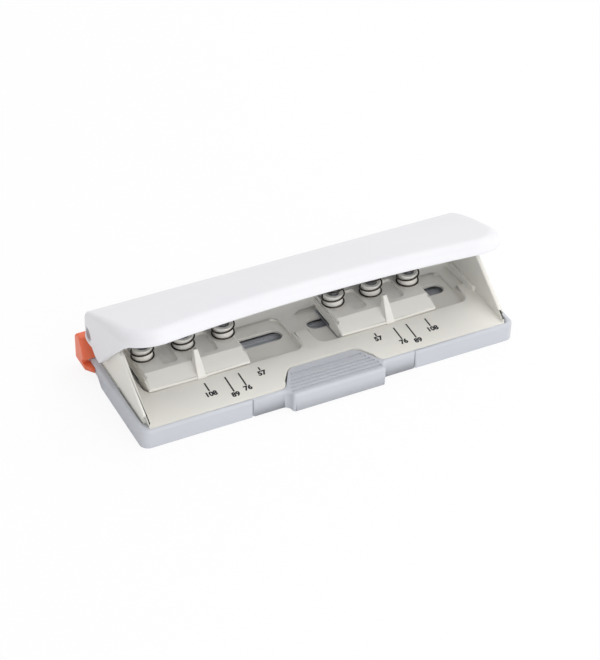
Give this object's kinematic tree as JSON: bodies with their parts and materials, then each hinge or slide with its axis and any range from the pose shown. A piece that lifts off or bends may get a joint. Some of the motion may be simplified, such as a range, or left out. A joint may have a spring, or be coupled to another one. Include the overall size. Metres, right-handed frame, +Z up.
{
  "type": "desk hole punch",
  "caption": "Desk hole punch with sliding punch heads under a wide hinged press handle, sprung pins, chip drawer and pull-out paper stop.",
  "frame": {"origin": "middle of the underside of the base, on the desk plane", "axes": "+X along the punch to the right as seen from the front, +Y to the rear where the handle hinges, +Z up; stored with the handle raised"},
  "size_m": [0.1849, 0.0718, 0.0494],
  "materials": {
    "base_plastic": "fine satin",
    "drawer_plastic": "fine satin",
    "deck_plastic": "satin",
    "head_plastic": "satin",
    "handle_plastic": "semi-gloss",
    "guide_plastic": "satin",
    "foot_rubber": "matte",
    "zinc_steel": "zinc plated",
    "rod_steel": "drawn bright",
    "pin_steel": "ground",
    "spring_steel": "oiled wire"
  },
  "bodies": {
    "base": {"base_tray": "base_plastic", "rubber_feet": "foot_rubber", "case_screws": "zinc_steel", "deck_frame": "deck_plastic", "hinge_rod": "rod_steel", "rod_rings": "spring_steel"},
    "handle": {"handle_shell": "handle_plastic", "press_plate": "zinc_steel", "plate_screws": "zinc_steel"},
    "left_head": {"left_head_block": "head_plastic", "left_die_plate": "zinc_steel", "left_clamp_screws": "zinc_steel", "left_glide_screws": "zinc_steel", "left_spring_outer": "spring_steel", "left_spring_middle": "spring_steel", "left_spring_inner": "spring_steel"},
    "left_punch_outer": {"left_pin_outer": "pin_steel"},
    "left_punch_middle": {"left_pin_middle": "pin_steel"},
    "left_punch_inner": {"left_pin_inner": "pin_steel"},
    "right_head": {"right_head_block": "head_plastic", "right_die_plate": "zinc_steel", "right_clamp_screws": "zinc_steel", "right_glide_screws": "zinc_steel", "right_spring_outer": "spring_steel", "right_spring_middle": "spring_steel", "right_spring_inner": "spring_steel"},
    "right_punch_outer": {"right_pin_outer": "pin_steel"},
    "right_punch_middle": {"right_pin_middle": "pin_steel"},
    "right_punch_inner": {"right_pin_inner": "pin_steel"},
    "drawer": {"chip_drawer": "drawer_plastic"},
    "guide": {"paper_guide": "guide_plastic"}
  },
  "joints": [
    {"name": "handle_press", "type": "hinge", "parent": "base", "child": "handle", "pos_m": [0, 0.026, 0.0216], "axis": [1, 0, 0], "range_deg": [0, 17.5], "stiffness_Nm_per_rad": 3.2, "springref_deg": -5.73},
    {"name": "left_head_slide", "type": "slide", "parent": "base", "child": "left_head", "axis": [1, 0, 0], "range_m": [0, 0.0255]},
    {"name": "left_punch_outer_slide", "type": "slide", "parent": "left_head", "child": "left_punch_outer", "axis": [0, 0, -1], "range_m": [0, 0.0053], "deforming": ["left_spring_outer"]},
    {"name": "left_punch_middle_slide", "type": "slide", "parent": "left_head", "child": "left_punch_middle", "axis": [0, 0, -1], "range_m": [0, 0.0053], "deforming": ["left_spring_middle"]},
    {"name": "left_punch_inner_slide", "type": "slide", "parent": "left_head", "child": "left_punch_inner", "axis": [0, 0, -1], "range_m": [0, 0.0053], "deforming": ["left_spring_inner"]},
    {"name": "right_head_slide", "type": "slide", "parent": "base", "child": "right_head", "axis": [1, 0, 0], "range_m": [-0.0095, 0.016]},
    {"name": "right_punch_outer_slide", "type": "slide", "parent": "right_head", "child": "right_punch_outer", "axis": [0, 0, -1], "range_m": [0, 0.0053], "deforming": ["right_spring_outer"]},
    {"name": "right_punch_middle_slide", "type": "slide", "parent": "right_head", "child": "right_punch_middle", "axis": [0, 0, -1], "range_m": [0, 0.0053], "deforming": ["right_spring_middle"]},
    {"name": "right_punch_inner_slide", "type": "slide", "parent": "right_head", "child": "right_punch_inner", "axis": [0, 0, -1], "range_m": [0, 0.0053], "deforming": ["right_spring_inner"]},
    {"name": "chip_drawer_slide", "type": "slide", "parent": "base", "child": "drawer", "axis": [0, -1, 0], "range_m": [0, 0.042]},
    {"name": "paper_guide_slide", "type": "slide", "parent": "base", "child": "guide", "axis": [-1, 0, 0], "range_m": [0, 0.0172]}
  ],
  "couplings": [
    {"joint": "left_punch_outer_slide", "follows": "handle_press", "m_per_rad": 0.017336},
    {"joint": "left_punch_middle_slide", "follows": "handle_press", "m_per_rad": 0.017336},
    {"joint": "left_punch_inner_slide", "follows": "handle_press", "m_per_rad": 0.017336},
    {"joint": "right_punch_outer_slide", "follows": "handle_press", "m_per_rad": 0.017336},
    {"joint": "right_punch_middle_slide", "follows": "handle_press", "m_per_rad": 0.017336},
    {"joint": "right_punch_inner_slide", "follows": "handle_press", "m_per_rad": 0.017336}
  ]
}
